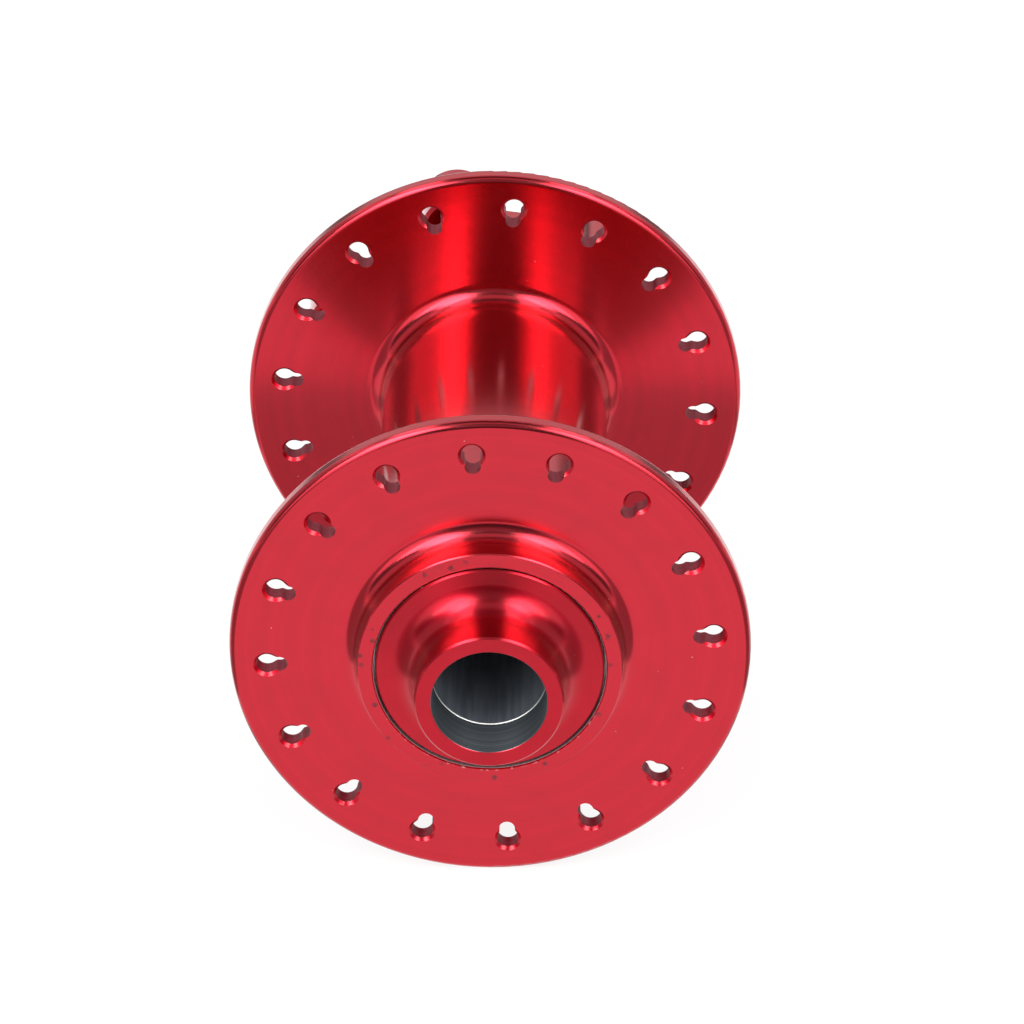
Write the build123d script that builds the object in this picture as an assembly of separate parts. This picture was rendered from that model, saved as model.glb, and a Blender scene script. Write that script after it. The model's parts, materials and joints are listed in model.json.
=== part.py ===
"""Front disc-brake bicycle hub: 32 spoke holes, 15 mm thru axle, 110 mm between the fork's drop-outs.

Frame, in millimetres: the origin is the centre of the hub on its axle line. +Y runs along the axle
towards the left, disc-brake side of the bicycle, +X points forward and +Z points up.
"""
from build123d import *
import os
from math import radians, sqrt, tan

# ---- driving dimensions -------------------------------------------------------------------------

hub_width = 110.0                # end cap face to end cap face, which the fork's drop-outs clamp
bore_radius = 7.55               # clearance round the 15 mm thru axle

# spoke flanges
flange_radius = 34.1
flange_thickness = 2.85
right_flange_outer_y = -41.9     # outer face on the side with no brake
left_flange_inner_y = 26.3       # inner face on the brake side
rim_rounding = 0.9
spoke_holes_per_flange = 16
hole_head_circle = 29.3          # pitch radius of each keyhole's large, outer circle
hole_head_radius = 1.4
hole_slot_circle = 27.65         # pitch radius of each keyhole's small, inner circle
hole_slot_radius = 1.05
hole_neck_rounding = 1.0
countersink_depth = 0.4          # at each flange's -Y face
back_bevel_depth = 0.15          # at its +Y face
right_hole_turn = -4.55          # degrees about +Y, from +Z towards +X, of one right-hand keyhole
left_hole_turn = 5.2

# shell between and outside the flanges
barrel_radius = 15.5
barrel_bore_radius = 13.0
boss_radius = 17.35              # right-hand bearing boss
boss_height = 4.78
boss_bevel = 0.15
boss_root_radius = 2.2
barrel_root_radius = 2.4
flare_radius = 17.7              # thickened barrel round the right-hand bearing
flare_start_y = -36.0
flare_end_y = -30.0
flare_root_radius = 1.5
flare_blend_radius = 4.0

# six-bolt brake rotor mount
rotor_face_y = hub_width / 2 - 10.5
spigot_radius = 17.475
neck_radius = 18.4
neck_root_radius = 2.0
lug_count = 6
lug_circle = 22.0
lug_radius = 4.9
lug_length = 9.5
lug_turn = -14.0                 # degrees, measured as the keyholes are
lug_valley_radius = 19.8         # of the ring between the lugs
lug_valley_rounding = 2.6
lug_bevel = 0.5
rotor_thread_radius = 2.1        # tapping drill for M5
rotor_thread_bevel = 0.4

# 6903 sealed ball bearings
bearing_bore_radius = 8.5
bearing_outer_radius = 15.0
bearing_width = 7.0
bearing_outer_face = 44.2        # distance of each bearing's outer side from the hub's centre
inner_land_radius = 10.25
outer_land_radius = 13.25
ball_count = 11
ball_radius = 3.969 / 2
ball_circle = (bearing_bore_radius + bearing_outer_radius) / 2
ball_play = 0.03
groove_radius = 2.06
race_bevel = 0.3
seal_recess_radius = 13.8
seal_recess_depth = 1.05
seal_thickness = 0.75
seal_set_back = 0.2
seal_dish = 0.12                 # how far the seal's middle lies below its bead
seal_bead_width = 0.85
seal_bead_rounding = 0.2
seal_lip_gap = 0.05
seal_lip_width = 0.6
seal_lip_drop = 0.3
seal_lip_thickness = 0.35
cage_inner_radius = 10.95
cage_outer_radius = 12.55
cage_pocket_radius = 2.03
cage_sheet = 0.36
rivet_radius = 0.32
rivet_head_radius = 0.55
rivet_head_height = 0.22
rivet_head_rounding = 0.15

# axle tube and end caps
axle_end_depth = 6.85            # from each end cap's face to the end of the axle tube
axle_end_bevel = 0.3             # inside edge of each end
axle_tip_bevel = 0.15            # outside edge of each end
axle_shoulder_radius = 10.0
axle_shoulder_width = 3.0
axle_shoulder_bevel = 0.2
axle_waist_radius = 9.4
nose_radius = 9.75
nose_bevel = 0.25
nose_mouth_bevel = 0.1
cap_disc_radius = 14.95
cap_disc_bevel = 0.25
cap_disc_face_drop = 0.05        # the disc sits this far below the boss's end face
cap_disc_thickness = 1.7
cap_disc_slope = 9.5             # degrees that the disc rises from its rim towards the nose
cap_flare_radius = 3.9
cap_foot_radius = 10.1
cap_socket_play = 0.02
housing_lip_radius = 15.2        # wall round each end cap's disc
housing_lip_bevel = 0.2
o_ring_section = 1.0
o_ring_height = 0.92             # of the squeezed ring, from the axle to the groove's floor
o_ring_rounding = 0.4
o_ring_groove_width = 1.15
o_ring_inset = 1.3               # from the axle's end to the middle of the groove

overrun = 1.0                    # how far a cutter runs past what it cuts

# ---- worked-out places --------------------------------------------------------------------------

right_flange_inner_y = right_flange_outer_y + flange_thickness
left_flange_outer_y = left_flange_inner_y + flange_thickness
boss_face = -(right_flange_outer_y - boss_height)       # distance of both end faces from the centre
bearing_inner_face = bearing_outer_face - bearing_width
bearing_middle = bearing_outer_face - bearing_width / 2
axle_end = hub_width / 2 - axle_end_depth
cap_disc_face = boss_face - cap_disc_face_drop
cap_disc_back = cap_disc_face - cap_disc_thickness
cap_disc_top = cap_disc_face + (cap_disc_radius - nose_radius) * tan(radians(cap_disc_slope))
o_ring_middle = axle_end - o_ring_inset
o_ring_outer_radius = bearing_bore_radius + o_ring_height
lug_back_y = rotor_face_y - lug_length

# ---- helpers ------------------------------------------------------------------------------------


def turned(corners):
    """Turn a closed outline about the hub's axis.

    Each corner is (radius, y) for a sharp one, (radius, y, size) for a round one, or
    (radius, y, -size) for a bevelled one.
    """
    outline = make_face(Polyline([(corner[0], corner[1]) for corner in corners], close=True))
    for corner in corners:
        if len(corner) == 2:
            continue
        radius, y, size = corner
        vertex = outline.vertices().sort_by_distance((radius, y, 0))[0]
        outline = fillet(vertex, size) if size > 0 else chamfer(vertex, -size)
    return revolve(outline, Axis.Y)


def rod(radius, start_y, end_y):
    """A plain cylinder on the hub's axis."""
    return turned([(0, start_y), (radius, start_y), (radius, end_y), (0, end_y)])


def around(shape, count, first_turn=0.0):
    """Copies of a shape at equal steps about +Y; angles run from +Z towards +X."""
    return [shape.rotate(Axis.Y, first_turn + step * 360 / count) for step in range(count)]


def mirrored(shape):
    """The same piece on the other side of the hub."""
    return mirror(shape, Plane.XZ)


def save(shape, node):
    """Write one piece to its own file."""
    shape.label = node
    export_step(shape, f"parts/{node}.step")


# ---- hub shell ----------------------------------------------------------------------------------


def shell_body():
    """The turned blank of the shell: barrel, both flanges, right boss, left neck and spigot."""
    return turned([
        (barrel_bore_radius, -bearing_inner_face),
        (bearing_outer_radius, -bearing_inner_face),
        (bearing_outer_radius, -bearing_outer_face),
        (housing_lip_radius, -bearing_outer_face),
        (housing_lip_radius, -boss_face, -housing_lip_bevel),
        (boss_radius, -boss_face, -boss_bevel),
        (boss_radius, right_flange_outer_y, boss_root_radius),
        (flange_radius, right_flange_outer_y, rim_rounding),
        (flange_radius, right_flange_inner_y, rim_rounding),
        (flare_radius, right_flange_inner_y, flare_root_radius),
        (flare_radius, flare_start_y, flare_blend_radius),
        (barrel_radius, flare_end_y, flare_blend_radius),
        (barrel_radius, left_flange_inner_y, barrel_root_radius),
        (flange_radius, left_flange_inner_y, rim_rounding),
        (flange_radius, left_flange_outer_y, rim_rounding),
        (neck_radius, left_flange_outer_y, neck_root_radius),
        (neck_radius, rotor_face_y),
        (spigot_radius, rotor_face_y),
        (spigot_radius, boss_face, -boss_bevel),
        (housing_lip_radius, boss_face, -housing_lip_bevel),
        (housing_lip_radius, bearing_outer_face),
        (bearing_outer_radius, bearing_outer_face),
        (bearing_outer_radius, bearing_inner_face),
        (barrel_bore_radius, bearing_inner_face),
    ])


def rotor_lugs():
    """The six-lobed ring that the brake rotor bolts to."""
    plane = Plane(origin=(0, rotor_face_y, 0), x_dir=(1, 0, 0), z_dir=(0, -1, 0))
    lobe = Pos(0, lug_circle) * Circle(lug_radius)
    star = Circle(lug_valley_radius)
    star += [Rot(0, 0, -lug_turn - step * 360 / lug_count) * lobe for step in range(lug_count)]
    star = fillet(star.vertices(), lug_valley_rounding)
    ring = extrude(plane * star, lug_length)
    ends = ring.faces().sort_by(Axis.Y)
    ring = chamfer(ends[0].edges() + ends[-1].edges(), lug_bevel)
    return ring - rod(spigot_radius - overrun, lug_back_y - overrun, rotor_face_y + overrun)


def rotor_threads():
    """Cutters for the six tapped holes, bevelled where the bolts start."""
    cutter = turned([
        (0, rotor_face_y + overrun),
        (rotor_thread_radius + rotor_thread_bevel + overrun, rotor_face_y + overrun),
        (rotor_thread_radius, rotor_face_y - rotor_thread_bevel),
        (rotor_thread_radius, lug_back_y - overrun),
        (0, lug_back_y - overrun),
    ])
    return around(Pos(0, 0, lug_circle) * cutter, lug_count, lug_turn)


def keyhole_face():
    """One keyhole's outline: a large and a small circle joined by a round-cornered neck."""
    gap = hole_head_circle - hole_slot_circle
    head_reach = hole_head_radius + hole_neck_rounding
    slot_reach = hole_slot_radius + hole_neck_rounding
    neck_drop = (gap**2 + head_reach**2 - slot_reach**2) / (2 * gap)
    neck_x = sqrt(head_reach**2 - neck_drop**2)
    waist = Vector(neck_x - hole_neck_rounding, hole_head_circle - neck_drop)
    head_end = Vector(neck_x, -neck_drop) * (hole_head_radius / head_reach) + Vector(0, hole_head_circle)
    slot_end = Vector(neck_x, gap - neck_drop) * (hole_slot_radius / slot_reach) + Vector(0, hole_slot_circle)
    top = Vector(0, hole_head_circle + hole_head_radius)
    bottom = Vector(0, hole_slot_circle - hole_slot_radius)

    def left(point):
        return Vector(-point.X, point.Y)

    return make_face([
        ThreePointArc(left(head_end), top, head_end),
        ThreePointArc(head_end, waist, slot_end),
        ThreePointArc(slot_end, bottom, left(slot_end)),
        ThreePointArc(left(slot_end), left(waist), left(head_end)),
    ])


def keyholes(low_y, high_y, first_turn):
    """Cutters for one flange's ring of spoke holes, countersunk at its -Y face and bevelled at the other."""
    plane = Plane(origin=(0, high_y + overrun, 0), x_dir=(1, 0, 0), z_dir=(0, -1, 0))
    cutter = extrude(plane * keyhole_face(), high_y - low_y + 2 * overrun)
    for face_y, depth, into in ((low_y, countersink_depth, 1), (high_y, back_bevel_depth, -1)):
        cone = turned([
            (0, face_y - into * overrun),
            (hole_head_radius + depth + overrun, face_y - into * overrun),
            (hole_head_radius, face_y + into * depth),
            (0, face_y + into * depth),
        ])
        cutter += Pos(0, 0, hole_head_circle) * cone
    return around(cutter, spoke_holes_per_flange, first_turn)


def hub_shell():
    """The one-piece aluminium shell."""
    shell = shell_body() + rotor_lugs()
    shell -= rotor_threads()
    shell -= keyholes(right_flange_outer_y, right_flange_inner_y, right_hole_turn)
    shell -= keyholes(left_flange_inner_y, left_flange_outer_y, left_hole_turn)
    return shell


# ---- sealed ball bearing, centred on the origin; +Y is its outward side --------------------------


def race_groove(centre_radius):
    """The ring that a race's ball groove is cut with."""
    return Rot(90, 0, 0) * Torus(centre_radius, groove_radius)


def outer_race():
    """Outer ring with a ball groove and a recess at each side for its seal."""
    half = bearing_width / 2
    recess = half - seal_recess_depth
    ring = turned([
        (bearing_outer_radius, -half, -race_bevel),
        (bearing_outer_radius, half, -race_bevel),
        (seal_recess_radius, half),
        (seal_recess_radius, recess),
        (outer_land_radius, recess),
        (outer_land_radius, -recess),
        (seal_recess_radius, -recess),
        (seal_recess_radius, -half),
    ])
    return ring - race_groove(ball_circle + ball_radius + ball_play - groove_radius)


def inner_race():
    """Inner ring with a ball groove."""
    half = bearing_width / 2
    ring = turned([
        (bearing_bore_radius, -half, -race_bevel),
        (bearing_bore_radius, half, -race_bevel),
        (inner_land_radius, half, -race_bevel / 2),
        (inner_land_radius, -half, -race_bevel / 2),
    ])
    return ring - race_groove(ball_circle - ball_radius - ball_play + groove_radius)


def balls():
    """The ring of steel balls."""
    ball = Pos(0, 0, ball_circle) * Rot(90, 0, 0) * Sphere(ball_radius)
    return Compound(children=around(ball, ball_count))


def cage_half():
    """The +Y half of the pressed cage: a flat ring with a round cup over each ball."""
    cup = Pos(0, 0, ball_circle) * Sphere(cage_pocket_radius + cage_sheet)
    pocket = Pos(0, 0, ball_circle) * Sphere(cage_pocket_radius)
    hole = Pos(0, 0, ball_circle) * rod(rivet_radius, -overrun, cage_sheet + overrun)
    half = bearing_width / 2
    ribbon = rod(cage_outer_radius, 0, cage_sheet) + around(cup, ball_count)
    ribbon &= rod(cage_outer_radius, 0, half) - rod(cage_inner_radius, -overrun, half + overrun)
    ribbon -= around(pocket, ball_count)
    return ribbon - around(hole, ball_count, 180 / ball_count)


def cage_rivets():
    """The rivets that join the two cage halves between the balls."""
    head = cage_sheet + rivet_head_height
    rivet = turned([
        (0, -head),
        (rivet_head_radius, -head, rivet_head_rounding),
        (rivet_head_radius, -cage_sheet),
        (rivet_radius, -cage_sheet),
        (rivet_radius, cage_sheet),
        (rivet_head_radius, cage_sheet),
        (rivet_head_radius, head, rivet_head_rounding),
        (0, head),
    ])
    return Compound(children=around(Pos(0, 0, ball_circle) * rivet, ball_count, 180 / ball_count))


def seal():
    """The +Y rubber seal: a bead in the outer ring's recess and a thin lip over the inner ring."""
    outside = bearing_width / 2 - seal_set_back
    inside = outside - seal_thickness
    lip_radius = inner_land_radius + seal_lip_gap
    lip_outside = outside - seal_lip_drop
    bead_radius = seal_recess_radius - seal_bead_width
    return turned([
        (lip_radius, lip_outside),
        (lip_radius, lip_outside - seal_lip_thickness),
        (lip_radius + seal_lip_width, inside),
        (bead_radius, inside),
        (seal_recess_radius, bearing_width / 2 - seal_recess_depth),
        (seal_recess_radius, outside, seal_bead_rounding),
        (bead_radius, outside - seal_dish),
        (lip_radius + seal_lip_width, outside - seal_dish),
    ])


# ---- axle tube, end caps and their O-rings -------------------------------------------------------


def axle():
    """The tube through the hub, with a shoulder against each bearing's inner ring."""
    waist_y = bearing_inner_face - axle_shoulder_width
    right_half = [
        (bearing_bore_radius, -axle_end, -axle_tip_bevel),
        (bearing_bore_radius, -bearing_inner_face),
        (axle_shoulder_radius, -bearing_inner_face, -axle_shoulder_bevel),
        (axle_shoulder_radius, -waist_y, -axle_shoulder_bevel),
        (axle_waist_radius, -waist_y),
    ]
    left_half = [(corner[0], -corner[1], *corner[2:]) for corner in reversed(right_half)]
    bore = [(bore_radius, axle_end, -axle_end_bevel), (bore_radius, -axle_end, -axle_end_bevel)]
    return turned(right_half + left_half + bore)


def left_end_cap():
    """The cap that covers the left bearing, grips the axle tube and seats in the drop-out."""
    socket_radius = bearing_bore_radius + cap_socket_play
    groove_low = o_ring_middle - o_ring_groove_width / 2
    groove_high = o_ring_middle + o_ring_groove_width / 2
    return turned([
        (bore_radius, hub_width / 2, -nose_mouth_bevel),
        (nose_radius, hub_width / 2, -nose_bevel),
        (nose_radius, cap_disc_top, cap_flare_radius),
        (cap_disc_radius, cap_disc_face, -cap_disc_bevel),
        (cap_disc_radius, cap_disc_back),
        (cap_foot_radius, cap_disc_back),
        (cap_foot_radius, bearing_outer_face),
        (socket_radius, bearing_outer_face),
        (socket_radius, groove_low),
        (o_ring_outer_radius, groove_low),
        (o_ring_outer_radius, groove_high),
        (socket_radius, groove_high),
        (socket_radius, axle_end),
        (bore_radius, axle_end),
    ])


def left_o_ring():
    """The rubber ring squeezed between the left cap's groove and the axle tube."""
    low = o_ring_middle - o_ring_section / 2
    high = o_ring_middle + o_ring_section / 2
    return turned([
        (bearing_bore_radius, low, o_ring_rounding),
        (o_ring_outer_radius, low, o_ring_rounding),
        (o_ring_outer_radius, high, o_ring_rounding),
        (bearing_bore_radius, high, o_ring_rounding),
    ])


# ---- every piece in its place --------------------------------------------------------------------

bearing_pieces = {
    "outer_race": outer_race(),
    "inner_race": inner_race(),
    "balls": balls(),
    "cage_outer_half": cage_half(),
    "cage_inner_half": mirrored(cage_half()),
    "cage_rivets": cage_rivets(),
    "outer_seal": seal(),
    "inner_seal": mirrored(seal()),
}

pieces = {
    "hub_shell": hub_shell(),
    "axle": axle(),
    "left_end_cap": left_end_cap(),
    "left_cap_o_ring": left_o_ring(),
}
for name, shape in bearing_pieces.items():
    pieces[f"left_bearing_{name}"] = Pos(0, bearing_middle, 0) * shape
for name in [name for name in pieces if name.startswith("left_")]:
    pieces[name.replace("left_", "right_", 1)] = mirrored(pieces[name])

os.makedirs("parts", exist_ok=True)
for name, shape in pieces.items():
    save(shape, name)
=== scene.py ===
"""Looks for the front bicycle hub: studio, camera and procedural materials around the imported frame."""
import json
import math

import bpy
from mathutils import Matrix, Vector


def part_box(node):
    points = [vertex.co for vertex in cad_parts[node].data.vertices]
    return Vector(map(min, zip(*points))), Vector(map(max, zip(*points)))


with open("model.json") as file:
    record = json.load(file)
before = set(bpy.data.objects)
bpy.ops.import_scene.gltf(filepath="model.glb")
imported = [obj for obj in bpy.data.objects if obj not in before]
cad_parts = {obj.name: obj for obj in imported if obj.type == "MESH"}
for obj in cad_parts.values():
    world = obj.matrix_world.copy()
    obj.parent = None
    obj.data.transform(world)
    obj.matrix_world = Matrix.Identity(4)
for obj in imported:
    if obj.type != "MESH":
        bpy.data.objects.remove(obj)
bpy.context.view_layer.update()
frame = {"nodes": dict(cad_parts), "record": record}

MM = 0.001

# ---- places, in metres ---------------------------------------------------------------------------

# boxes and mounts come from the frame, and the other sizes and angles repeat the CAD's

shell_low, shell_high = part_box("hub_shell")
_, axle_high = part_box("axle")
mounts = {mount["name"]: mount for mount in frame["record"]["mounts"]}

floor_z = shell_low.z
flange_radius = shell_high.z
boss_face_y = shell_high.y                       # where each bearing housing ends, on either side
bore_radius = mounts["thru_axle_bore"]["dims"]["r_mm"] * MM
spoke_circle = mounts["right_spoke_holes"]["dims"]["pcd_mm"] / 2 * MM
keyhole_in = 3.6 * MM                            # how far the spoke openings reach in from the circle
keyhole_out = 2.0 * MM                           # and out from it
rotor_circle = mounts["rotor_bolts"]["dims"]["pcd_mm"] / 2 * MM
rotor_hole_radius = mounts["rotor_bolts"]["dims"]["hole_r_mm"] * MM
lug_count = 6
lug_turn = math.radians(-14)                     # of one rotor lug, from +Z towards +X
lug_back_y = boss_face_y - 12 * MM               # just behind the rotor lugs
right_flange_y = mounts["right_spoke_holes"]["pos_m"][1]         # middle of each flange
left_flange_y = mounts["left_spoke_holes"]["pos_m"][1]
flange_half = 1.425 * MM                         # half of each flange's thickness
rim_rounding = 0.9 * MM
boss_radius = 17.35 * MM
boss_root = 2.2 * MM                             # radii of the hollow corners beside the flanges
barrel_radius = 15.5 * MM
barrel_root = 2.4 * MM
neck_radius = 18.4 * MM
neck_root = 2.0 * MM
housing_radius = 15.2 * MM                       # inner edge of each housing's end face
nose_radius = mounts["right_nose"]["dims"]["r_mm"] * MM
cove_radius = 3.9 * MM                           # between each cap's disc and nose
cove_centre_y = 50.8 * MM
cap_slope = math.tan(math.radians(9.5))          # of each cap's disc
cap_bore_floor_y = axle_high.y                   # where each cap's bore meets the axle tube

# roundings of the turned profiles: radius and y of the centre, size, sides of the centre on which the
# arc lies in radius and in y, 1 where the surface bulges or -1 where it is hollow, and the slope of
# the face that the arc starts from
rim_offset = flange_half - rim_rounding          # of each rim rounding's centre from the flange's middle
shell_roundings = [
    (flange_radius - rim_rounding, flange_y + side * rim_offset, rim_rounding, 1, side, 1, 0.0)
    for flange_y in (right_flange_y, left_flange_y)
    for side in (-1, 1)
]
outer_face_y = right_flange_y - flange_half      # the right flange's face beside the boss
inner_face_y = left_flange_y - flange_half       # the left flange's face beside the barrel
disc_face_y = left_flange_y + flange_half        # and its face beside the rotor lugs
shell_roundings += [
    (boss_radius + boss_root, outer_face_y - boss_root, boss_root, -1, 1, -1, 0.0),
    (barrel_radius + barrel_root, inner_face_y - barrel_root, barrel_root, -1, 1, -1, 0.0),
    (neck_radius + neck_root, disc_face_y + neck_root, neck_root, -1, -1, -1, 0.0),
]
cap_roundings = [(nose_radius + cove_radius, cove_centre_y, cove_radius, -1, -1, -1, cap_slope)]
mesh_slack = 0.03 * MM                           # how far the mesh may lie off the true rounding
face_reach = 2.0 * MM                            # how far the face beside a rounding counts too
wall_reach = 0.5 * MM                            # the same on the wall's side

# ---- camera --------------------------------------------------------------------------------------

camera_azimuth = math.radians(0.42)
camera_elevation = math.radians(30.03)
camera_distance = 0.95096
camera_lens = 255.9
camera_target = Vector((2.8, -32.9, 15.69)) * MM


def direction(azimuth, elevation):
    """Unit vector from the hub towards a viewer or light; azimuth 0 is towards -Y, 90 towards +X."""
    flat = math.cos(elevation)
    return Vector((math.sin(azimuth) * flat, -math.cos(azimuth) * flat, math.sin(elevation)))


def add_camera():
    """The camera at the photograph's viewing angle."""
    data = bpy.data.cameras.new("camera")
    data.lens = camera_lens
    data.sensor_width = 36
    data.clip_start = 0.05
    data.clip_end = 20
    camera = bpy.data.objects.new("camera", data)
    back = direction(camera_azimuth, camera_elevation)
    camera.location = camera_target + back * camera_distance
    camera.rotation_mode = "QUATERNION"
    camera.rotation_quaternion = (-back).to_track_quat("-Z", "Y")
    bpy.context.scene.collection.objects.link(camera)
    bpy.context.scene.camera = camera


# ---- lights and floor ----------------------------------------------------------------------------

light_distance = 1.3                             # from the hub's centre to each softbox, in metres
world_strength = 0.14
floor_half = 6.0                                 # half of the floor's side, in metres
floor_grey = 0.15
floor_rough = 0.9
floor_glow = 0.85
card_rough = 0.5

# name, azimuth and elevation of the middle, width and height (all degrees), and brightness
softboxes = [
    ("left_key", -33, 31, 29, 26, 6.2),
    ("right_key", 35, 31, 29, 26, 4.8),
    ("left_high_key", -43, 49, 28, 12, 6.2),
    ("right_high_key", 45, 49, 28, 12, 5.2),
    ("left_low", -30, 8, 30, 18, 1.4),
    ("right_low", 32, 8, 30, 18, 1.4),
    ("left_overhead", -88, 64, 64, 15, 2.6),
    ("right_overhead", 88, 64, 64, 15, 2.6),
    ("left_side", -100, 20, 60, 45, 0.5),
    ("right_side", 100, 20, 60, 45, 0.5),
    ("left_outer", -76, 48, 60, 15, 1.0),
    ("right_outer", 76, 48, 60, 15, 1.0),
    ("front_gap", 0, 30, 18, 26, 0.2),
    ("top", 0, 68, 36, 24, 0.5),
    ("rear", 180, 38, 90, 52, 0.65),
]

# name, low and high corner in mm with the floor at 0, and brightness; cards are seen only in reflections,
# and those lying on the floor are painted shade for the floor's shadow beside and under the hub
cards = [
    ("front_card", (-44, -290, 0), (44, -290, 74), 0.06),
    # the cards from here on lie flat on the floor: painted shade for the floor's shadow beside and under
    # the hub, seen only in reflections
    ("left_card", (-600, -600, 0.5), (-62, -34, 0.5), 0.42),
    ("right_card", (64, -600, 0.5), (600, -34, 0.5), 0.42),
    ("left_near_card", (-80, -34, 0.5), (-60, 42, 0.5), 0.6),
    ("right_near_card", (61, -34, 0.5), (81, 42, 0.5), 0.5),
    ("under_card", (-50, -38, 0.5), (54, 22, 0.5), 0.6),
]


def add_softbox(name, azimuth, elevation, width, height, radiance):
    """A rectangular softbox aimed at the hub, not seen directly by the camera."""
    data = bpy.data.lights.new(name, "AREA")
    data.shape = "RECTANGLE"
    data.size = 2 * light_distance * math.tan(math.radians(width / 2))
    data.size_y = 2 * light_distance * math.tan(math.radians(height / 2))
    data.energy = radiance * math.pi * data.size * data.size_y
    light = bpy.data.objects.new(name, data)
    towards = direction(math.radians(azimuth), math.radians(elevation))
    light.location = towards * light_distance
    light.rotation_mode = "QUATERNION"
    light.rotation_quaternion = towards.to_track_quat("Z", "Y")
    light.visible_camera = False
    bpy.context.scene.collection.objects.link(light)


def glowing_paper(name, grey, roughness, glow):
    """A matt paper that also gives off an even white light."""
    material = bpy.data.materials.new(name)
    material.use_nodes = True
    shader = material.node_tree.nodes["Principled BSDF"]
    shader.inputs["Base Color"].default_value = (grey, grey, grey, 1)
    shader.inputs["Roughness"].default_value = roughness
    shader.inputs["Specular IOR Level"].default_value = 0.0
    shader.inputs["Emission Color"].default_value = (1, 1, 1, 1)
    shader.inputs["Emission Strength"].default_value = glow
    return material


def add_card(name, low, high, radiance):
    """A grey card that darkens what the metal reflects and is otherwise unseen; a card lying on the floor
    is painted shade for the floor's shadow near the hub.
    """
    (x0, y0, z0), (x1, y1, z1) = low, high
    corners = [
        Vector(corner) * MM + Vector((0, 0, floor_z))
        for corner in [(x0, y0, z0), (x1, y0, z0), (x1, y1, z1), (x0, y1, z1)]
    ]
    mesh = bpy.data.meshes.new(name)
    mesh.from_pydata(corners, [], [(0, 1, 2, 3)])
    mesh.materials.append(glowing_paper(name, 0, card_rough, radiance))
    card = bpy.data.objects.new(name, mesh)
    card.visible_camera = False
    card.visible_diffuse = False
    card.visible_shadow = False
    bpy.context.scene.collection.objects.link(card)


def add_world():
    """Even, dim surroundings."""
    world = bpy.data.worlds.new("studio")
    world.use_nodes = True
    background = world.node_tree.nodes["Background"]
    background.inputs["Color"].default_value = (1, 1, 1, 1)
    background.inputs["Strength"].default_value = world_strength
    bpy.context.scene.world = world


def add_floor():
    """The pale floor that the flange rims stand on, glowing a little like a light table."""
    mesh = bpy.data.meshes.new("floor")
    corners = [(x * floor_half, y * floor_half, floor_z) for x, y in [(-1, -1), (1, -1), (1, 1), (-1, 1)]]
    mesh.from_pydata(corners, [], [(0, 1, 2, 3)])
    mesh.materials.append(glowing_paper("floor_paper", floor_grey, floor_rough, floor_glow))
    floor = bpy.data.objects.new("floor", mesh)
    bpy.context.scene.collection.objects.link(floor)


# ---- node short-hand -----------------------------------------------------------------------------


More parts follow.
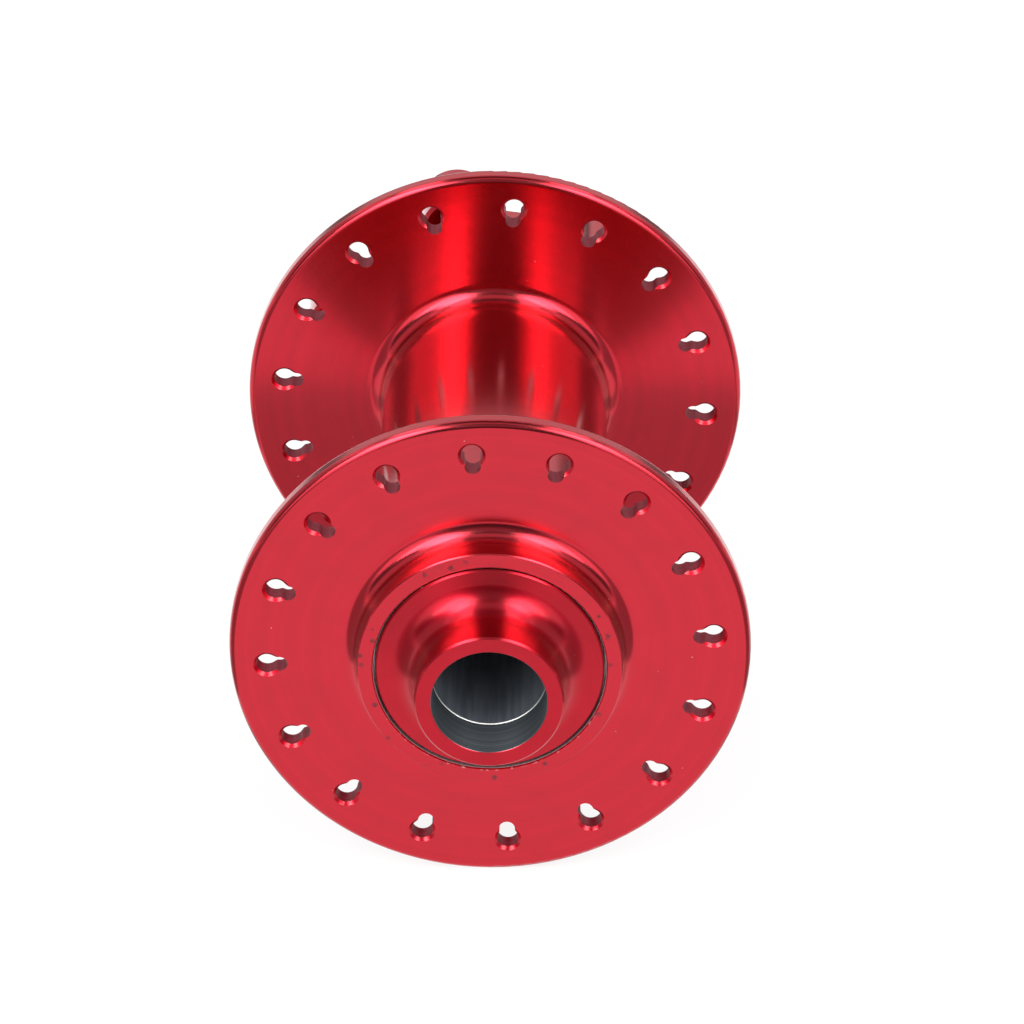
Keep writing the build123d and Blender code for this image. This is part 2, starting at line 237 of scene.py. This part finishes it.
class Nodes:
    """One material's nodes: where a point lies on the hub, and short-hand for wiring."""

    def __init__(self, name, **shader_values):
        self.material = bpy.data.materials.new(name)
        self.material.use_nodes = True
        self.tree = self.material.node_tree
        self.shader = self.tree.nodes["Principled BSDF"]
        coordinates = self.add("ShaderNodeTexCoord")
        self.position = coordinates.outputs["Object"]
        self.own_normal = coordinates.outputs["Normal"]
        self.x, self.y, self.z = self.parts(self.position)
        self.radius = self.length(self.x, self.z)
        self.shade(**shader_values)

    def add(self, kind, **settings):
        """A new node; settings are its plain properties."""
        node = self.tree.nodes.new(kind)
        for key, value in settings.items():
            setattr(node, key, value)
        return node

    def fill(self, target, value):
        """Set a socket from a number, a tuple or another socket."""
        if isinstance(value, bpy.types.NodeSocket):
            self.tree.links.new(value, target)
        else:
            target.default_value = value

    def shade(self, **values):
        """Set the shader's sockets, each named in small letters with underscores."""
        for key, value in values.items():
            self.fill(self.shader.inputs[key.replace("_", " ").title().replace("Ior", "IOR")], value)

    def math(self, operation, first, second=0.0, third=0.0):
        """One Math node's result."""
        node = self.add("ShaderNodeMath", operation=operation)
        for socket, value in zip(node.inputs, (first, second, third)):
            self.fill(socket, value)
        return node.outputs[0]

    def parts(self, vector):
        """A vector's X, Y and Z."""
        node = self.add("ShaderNodeSeparateXYZ")
        self.fill(node.inputs[0], vector)
        return node.outputs["X"], node.outputs["Y"], node.outputs["Z"]

    def join(self, *parts):
        """A vector from its X, Y and Z."""
        node = self.add("ShaderNodeCombineXYZ")
        for socket, part in zip(node.inputs, parts):
            self.fill(socket, part)
        return node.outputs[0]

    def length(self, first, second):
        """The length of a vector with two parts."""
        squares = self.math("MULTIPLY", first, first)
        return self.math("SQRT", self.math("MULTIPLY_ADD", second, second, squares))

    def ramp(self, value, start, end, low=0.0, high=1.0):
        """low at start, high at end, and a straight clamped change between them."""
        node = self.add("ShaderNodeMapRange", clamp=True)
        for socket, number in zip(node.inputs, (value, start, end, low, high)):
            self.fill(socket, number)
        return node.outputs[0]

    def drop(self, value, start, end):
        """1 up to start, 0 from end on, and a straight change between them."""
        return self.ramp(value, start, end, 1.0, 0.0)

    def band(self, value, low, high, soft):
        """1 between low and high, falling to 0 over a width of soft at each side."""
        return self.math("MULTIPLY", self.ramp(value, low - soft, low), self.drop(value, high, high + soft))

    def either(self, *masks):
        """The larger of several masks."""
        result = masks[0]
        for mask in masks[1:]:
            result = self.math("MAXIMUM", result, mask)
        return result

    def both(self, *masks):
        """The product of several masks."""
        result = masks[0]
        for mask in masks[1:]:
            result = self.math("MULTIPLY", result, mask)
        return result

    def blend(self, factor, first, second, kind="FLOAT"):
        """A mix of two numbers, or of two values of another kind."""
        node = self.add("ShaderNodeMix", data_type=kind)
        for name, value in (("Factor", factor), ("A", first), ("B", second)):
            self.fill(node.inputs[name], value)
        return node.outputs["Result"]

    def mix(self, factor, *colours):
        """A mix of two colours, each three numbers or a socket."""
        first, second = (
            colour if isinstance(colour, bpy.types.NodeSocket) else (*colour, 1) for colour in colours
        )
        return self.blend(factor, first, second, kind="RGBA")

    def noise(self, vector, scale, detail=2.0, roughness=0.5):
        """A noise texture's grey value."""
        node = self.add("ShaderNodeTexNoise")
        self.fill(node.inputs["Vector"], vector)
        node.inputs["Scale"].default_value = scale
        node.inputs["Detail"].default_value = detail
        node.inputs["Roughness"].default_value = roughness
        return node.outputs["Fac"]

    def rings(self, spacing, detail=3.0):
        """Grey rings that follow the turned profile, as a lathe tool leaves them."""
        profile = self.join(self.radius, self.y, 0.0)
        return self.noise(profile, 1 / spacing, detail=detail, roughness=0.6)

    def grooves(self, spacing, detail):
        """Grey bands square to the axle line, whatever the radius."""
        return self.noise(self.join(0.0, self.y, 0.0), 1 / spacing, detail=detail, roughness=0.6)

    def specks(self, cell, size, share):
        """Soft-edged round dots of up to size across; of the cells, the given share hold one."""
        node = self.add("ShaderNodeTexVoronoi", feature="F1")
        self.fill(node.inputs["Vector"], self.position)
        node.inputs["Scale"].default_value = 1 / cell
        split = self.add("ShaderNodeSeparateColor")
        self.fill(split.inputs[0], node.outputs["Color"])
        chance, portion = split.outputs[0], split.outputs[1]
        reach = self.math("MULTIPLY", portion, size / cell / 2)
        inside = self.drop(node.outputs["Distance"], self.math("MULTIPLY", reach, 0.5), reach)
        return self.both(self.math("LESS_THAN", chance, share), inside)

    def turned_normal(self, roundings, mirrored=False):
        """The exact normal on and beside each rounding of a turned profile, elsewhere the mesh's own.

        A mirrored profile has the same roundings on both sides of the hub's middle.
        """
        place = self.math("ABSOLUTE", self.y) if mirrored else self.y
        outward = 0.0
        along = 0.0
        on_rounding = 0.0
        for centre_radius, centre_y, size, radius_side, y_side, bulge, slope in roundings:
            across = self.math("MULTIPLY", self.math("SUBTRACT", self.radius, centre_radius), radius_side)
            up = self.math("MULTIPLY", self.math("SUBTRACT", place, centre_y), y_side)
            high = self.math("MAXIMUM", up, 0.0)
            wide = self.math("MAXIMUM", across, self.math("MULTIPLY", high, slope))
            distance = self.length(self.math("MAXIMUM", across, 0.0), high)
            here = self.both(self.math("GREATER_THAN", across, -face_reach),
                             self.math("GREATER_THAN", up, -wall_reach),
                             self.math("LESS_THAN", distance, size + mesh_slack))
            outward_here = self.math("MULTIPLY", wide, radius_side * bulge)
            along_here = self.math("MULTIPLY", high, y_side * bulge)
            outward = self.math("MULTIPLY_ADD", outward_here, here, outward)
            along = self.math("MULTIPLY_ADD", along_here, here, along)
            on_rounding = self.math("MAXIMUM", on_rounding, here)
        if mirrored:
            along = self.math("MULTIPLY", along, self.math("SIGN", self.y))
        outward = self.math("DIVIDE", outward, self.radius)
        exact = self.add("ShaderNodeVectorMath", operation="NORMALIZE")
        self.fill(exact.inputs[0], self.join(
            self.math("MULTIPLY", self.x, outward), along, self.math("MULTIPLY", self.z, outward)))
        to_world = self.add("ShaderNodeVectorTransform", vector_type="NORMAL",
                            convert_from="OBJECT", convert_to="WORLD")
        self.fill(to_world.inputs[0],
                  self.blend(on_rounding, self.own_normal, exact.outputs[0], kind="VECTOR"))
        return to_world.outputs[0]

    def bump(self, *layers, normal=None):
        """Stack bump layers, each a (height, depth in metres) pair, into the shader's normal.

        A given normal lies under the layers, and alone shapes the coat.
        """
        if normal is not None:
            self.shade(coat_normal=normal)
        for height, depth in layers:
            node = self.add("ShaderNodeBump")
            node.inputs["Strength"].default_value = 1.0
            node.inputs["Distance"].default_value = depth
            self.fill(node.inputs["Height"], height)
            if normal is not None:
                self.fill(node.inputs["Normal"], normal)
            normal = node.outputs[0]
        self.shade(normal=normal)

    def brushed_round(self):
        """Point the shader's grain round the axle line, as turning leaves it."""
        tangent = self.add("ShaderNodeTangent", direction_type="RADIAL", axis="Y")
        self.shade(tangent=tangent.outputs[0])


# ---- materials -----------------------------------------------------------------------------------

red = (0.60, 0.004, 0.022)
deep_red = (0.42, 0.003, 0.014)
mauve = (0.36, 0.04, 0.062)
dark_mauve = (0.09, 0.008, 0.016)
cap_red = (0.52, 0.0035, 0.019)
cap_deep_red = (0.40, 0.003, 0.013)
bare = (0.50, 0.51, 0.53)
bore_dark = (0.06, 0.075, 0.088)
bore_light = (0.18, 0.2, 0.215)
tube_dark = (0.14, 0.155, 0.18)
tube_light = (0.23, 0.25, 0.29)
cut_dark = (0.72, 0.72, 0.7)
cut_light = (0.88, 0.88, 0.86)
pit = (0.16, 0.014, 0.022)
dust = (0.85, 0.66, 0.68)

polished = 0.13                                  # roughness of each surface
boss_wall_rough = 0.28
countersink_rough = 0.42
drilled_rough = 0.45
bare_rough = 0.35
cap_rough = 0.26
cap_bore_rough = 0.38
tube_rough = 0.4
tube_end_rough = 0.45


def spoke_hole_masks(nodes, side):
    """The walls of the spoke openings, and the countersinks at their mouths."""
    in_flange = nodes.either(*(
        nodes.band(nodes.y, flange_y - flange_half, flange_y + flange_half, 0.01 * MM)
        for flange_y in (right_flange_y, left_flange_y)
    ))
    hole_ring = nodes.band(nodes.radius, spoke_circle - keyhole_in, spoke_circle + keyhole_out, 0.1 * MM)
    wall = nodes.both(hole_ring, in_flange, nodes.drop(side, 0.35, 0.5))
    countersink = nodes.both(hole_ring, in_flange, nodes.band(side, 0.6, 0.8, 0.05))
    return wall, countersink


def bolt_hole_mask(nodes, side):
    """The walls of the six rotor bolt holes."""
    lug_pitch = math.tau / lug_count
    turn = nodes.math("SUBTRACT", nodes.math("ARCTAN2", nodes.x, nodes.z), lug_turn)
    from_lug = nodes.math("WRAP", turn, lug_pitch / 2, -lug_pitch / 2)
    off_axis = nodes.length(nodes.math("MULTIPLY", from_lug, nodes.radius),
                            nodes.math("SUBTRACT", nodes.radius, rotor_circle))
    return nodes.both(nodes.ramp(nodes.y, lug_back_y, lug_back_y + 0.1 * MM),
                      nodes.drop(side, 0.25, 0.35),
                      nodes.drop(off_axis, 1.02 * rotor_hole_radius, 1.1 * rotor_hole_radius))


def boss_wall_mask(nodes, side):
    """The right boss's wall, which is less polished than the face and the hollow beside it."""
    return nodes.both(nodes.drop(nodes.y, outer_face_y - boss_root, outer_face_y),
                      nodes.drop(side, 0.3, 0.95),
                      nodes.ramp(nodes.radius, boss_radius - 0.2 * MM, boss_radius - 0.1 * MM))


def wear_masks(nodes, side):
    """Bare metal on the lower edge of each bearing housing, and pits in its end face."""
    end = nodes.math("ABSOLUTE", nodes.y)
    worn_edge = nodes.both(
        nodes.ramp(nodes.z, -6 * MM, -9 * MM),
        nodes.drop(nodes.radius, housing_radius + 0.1 * MM, housing_radius + 0.4 * MM),
        nodes.ramp(end, boss_face_y - 0.4 * MM, boss_face_y - 0.1 * MM),
        nodes.ramp(nodes.noise(nodes.position, 1500, detail=4.0), 0.56, 0.64),
    )
    ring_face = nodes.both(nodes.ramp(end, boss_face_y - 0.1 * MM, boss_face_y - 0.05 * MM),
                           nodes.ramp(side, 0.9, 0.95))
    pits = nodes.both(ring_face, nodes.specks(1.7 * MM, 1.6 * MM, 0.4),
                      nodes.ramp(nodes.noise(nodes.position, 5000, detail=3.0), 0.3, 0.6, 0.4, 1.0))
    return worn_edge, pits


def shell_finish():
    """Polished red anodising, with rougher spoke holes, raw bearing seats, wear, pits and dust."""
    nodes = Nodes("shell_anodised", anisotropic=0.6, anisotropic_rotation=0.25,
                  coat_roughness=0.2, coat_ior=1.42)
    side = nodes.math("ABSOLUTE", nodes.parts(nodes.own_normal)[1])      # 1 where a face is square to Y
    turning = nodes.rings(0.22 * MM)
    tint = nodes.rings(1.4 * MM)
    cloud = nodes.noise(nodes.position, 220, detail=4.0)
    grain = nodes.noise(nodes.position, 9000, detail=2.0)
    cut = nodes.either(nodes.grooves(0.22 * MM, detail=2.0), grain)

    hole_wall, countersink = spoke_hole_masks(nodes, side)
    tapped = bolt_hole_mask(nodes, side)
    worn_edge, pits = wear_masks(nodes, side)
    dusty = nodes.specks(1.1 * MM, 0.16 * MM, 0.05)
    inside = nodes.drop(nodes.radius, housing_radius + 0.02 * MM, housing_radius + 0.06 * MM)
    raw = nodes.either(inside, worn_edge)

    colour = nodes.mix(nodes.ramp(tint, 0.3, 0.7, 0.0, 0.35), red, deep_red)
    colour = nodes.mix(nodes.ramp(cloud, 0.45, 0.75, 0.0, 0.25), colour, deep_red)
    wall = nodes.mix(nodes.ramp(cut, 0.45, 0.7), mauve, dark_mauve)
    colour = nodes.mix(hole_wall, colour, wall)
    colour = nodes.mix(tapped, colour, mauve)
    colour = nodes.mix(raw, colour, bare)
    colour = nodes.mix(pits, colour, pit)
    colour = nodes.mix(dusty, colour, dust)

    rough = nodes.math("MULTIPLY_ADD", turning, 0.04, polished)
    rough = nodes.math("MULTIPLY_ADD", cloud, 0.03, rough)
    rough = nodes.blend(boss_wall_mask(nodes, side), rough, boss_wall_rough)
    rough = nodes.blend(countersink, rough, countersink_rough)
    rough = nodes.blend(nodes.either(hole_wall, tapped, pits, dusty), rough, drilled_rough)
    rough = nodes.blend(raw, rough, bare_rough)

    nodes.shade(base_color=colour, roughness=rough, coat_weight=nodes.drop(hole_wall, 0.0, 1.0),
                metallic=nodes.ramp(nodes.either(hole_wall, raw), 0.0, 1.0, 1.0, 0.6))
    nodes.brushed_round()
    nodes.bump((turning, 0.0007 * MM),
               (nodes.both(hole_wall, cut), 0.06 * MM),
               (nodes.math("MULTIPLY", pits, -1.0), 0.05 * MM),
               normal=nodes.turned_normal(shell_roundings))
    return nodes.material


def cap_finish():
    """Satin red anodising outside and bare turned aluminium in the bore."""
    nodes = Nodes("cap_anodised", anisotropic=0.8, anisotropic_rotation=0.25,
                  coat_weight=1.0, coat_roughness=0.2, coat_ior=1.3)
    turning = nodes.rings(0.2 * MM)
    feed = nodes.grooves(0.45 * MM, detail=5.0)
    cloud = nodes.noise(nodes.position, 260, detail=4.0)
    in_bore = nodes.drop(nodes.radius, bore_radius + 0.02 * MM, bore_radius + 0.05 * MM)
    dusty = nodes.specks(1.1 * MM, 0.15 * MM, 0.07)

    colour = nodes.mix(nodes.ramp(cloud, 0.4, 0.75, 0.2, 0.6), cap_red, cap_deep_red)
    colour = nodes.mix(in_bore, colour, nodes.mix(nodes.ramp(feed, 0.35, 0.65), bore_dark, bore_light))
    colour = nodes.mix(dusty, colour, dust)
    rough = nodes.math("MULTIPLY_ADD", turning, 0.04, cap_rough)
    rough = nodes.blend(nodes.either(in_bore, dusty), rough, cap_bore_rough)

    nodes.shade(base_color=colour, roughness=rough, metallic=nodes.ramp(in_bore, 0.0, 1.0, 1.0, 0.6))
    nodes.brushed_round()
    nodes.bump((turning, 0.001 * MM),
               (nodes.both(in_bore, feed), 0.03 * MM),
               normal=nodes.turned_normal(cap_roundings, mirrored=True))
    return nodes.material


def axle_finish():
    """Drawn tube: dull dark bore, and ends cut bright on the lathe."""
    nodes = Nodes("axle_tube", anisotropic=0.4)
    turning = nodes.rings(0.12 * MM)
    stretched = nodes.join(nodes.x, nodes.math("MULTIPLY", nodes.y, 0.05), nodes.z)
    drawn = nodes.noise(stretched, 1400, detail=4.0)
    end = nodes.math("ABSOLUTE", nodes.y)
    in_bore = nodes.both(
        nodes.drop(nodes.radius, bore_radius + 0.02 * MM, bore_radius + 0.06 * MM),
        nodes.drop(end, cap_bore_floor_y - 0.52 * MM, cap_bore_floor_y - 0.47 * MM),
    )

    dull = nodes.mix(nodes.ramp(drawn, 0.35, 0.7), tube_dark, tube_light)
    bright = nodes.mix(turning, cut_dark, cut_light)
    rough = nodes.blend(in_bore, nodes.math("MULTIPLY_ADD", turning, 0.1, tube_end_rough), tube_rough)
    nodes.shade(base_color=nodes.mix(in_bore, bright, dull), roughness=rough,
                metallic=nodes.ramp(in_bore, 0.0, 1.0, 1.0, 0.3))
    nodes.brushed_round()
    nodes.bump((turning, 0.004 * MM), (drawn, 0.003 * MM))
    return nodes.material


def steel_finish(name, light, dark, rough_low, rough_high, spacing):
    """Ground or drawn steel with faint rings and smudges."""
    nodes = Nodes(name, metallic=1.0, anisotropic=0.3)
    rings = nodes.rings(spacing)
    smudge = nodes.noise(nodes.position, 500, detail=4.0)
    nodes.shade(base_color=nodes.mix(nodes.ramp(smudge, 0.35, 0.7), light, dark),
                roughness=nodes.ramp(rings, 0.3, 0.7, rough_low, rough_high))
    nodes.brushed_round()
    nodes.bump((rings, 0.002 * MM))
    return nodes.material


def rubber_finish(name, colour, lighter):
    """Moulded rubber with a fine grain and a little grease."""
    nodes = Nodes(name, specular_ior_level=0.4)
    grain = nodes.noise(nodes.position, 6000, detail=3.0)
    grease = nodes.noise(nodes.position, 400, detail=3.0)
    nodes.shade(base_color=nodes.mix(nodes.ramp(grain, 0.3, 0.8), colour, lighter),
                roughness=nodes.ramp(grease, 0.4, 0.65, 0.62, 0.35))
    nodes.bump((grain, 0.01 * MM))
    return nodes.material


# name, light and dark colour, lowest and highest roughness, and ring spacing in mm, by material slot
steels = {
    "bearing_steel": ("race_steel", (0.62, 0.62, 0.63), (0.5, 0.5, 0.52), 0.12, 0.25, 0.15),
    "ball_steel": ("ball_steel", (0.74, 0.74, 0.75), (0.66, 0.66, 0.68), 0.04, 0.08, 0.5),
    "cage_steel": ("cage_steel", (0.52, 0.52, 0.50), (0.38, 0.38, 0.37), 0.28, 0.42, 0.4),
}

# dark and lighter colour, by material slot
rubbers = {
    "seal_rubber": ((0.012, 0.012, 0.013), (0.03, 0.03, 0.032)),
    "o_ring_rubber": ((0.01, 0.01, 0.01), (0.024, 0.024, 0.024)),
}


def add_materials():
    """Give every CAD piece the finish of its slot."""
    finishes = {
        "anodised_shell": shell_finish(),
        "anodised_cap": cap_finish(),
        "bare_axle_tube": axle_finish(),
    }
    for material_slot, (*look, spacing) in steels.items():
        finishes[material_slot] = steel_finish(*look, spacing * MM)
    for material_slot, colours in rubbers.items():
        finishes[material_slot] = rubber_finish(material_slot, *colours)
    for part in frame["record"]["subparts"]:
        mesh = frame["nodes"][part["node"]].data
        mesh.materials.clear()
        mesh.materials.append(finishes[part["material_slot"]])


# ---- the scene -----------------------------------------------------------------------------------

add_camera()
add_world()
add_floor()
for softbox in softboxes:
    add_softbox(*softbox)
for card in cards:
    add_card(*card)
add_materials()
bpy.context.scene.view_settings.view_transform = "Standard"
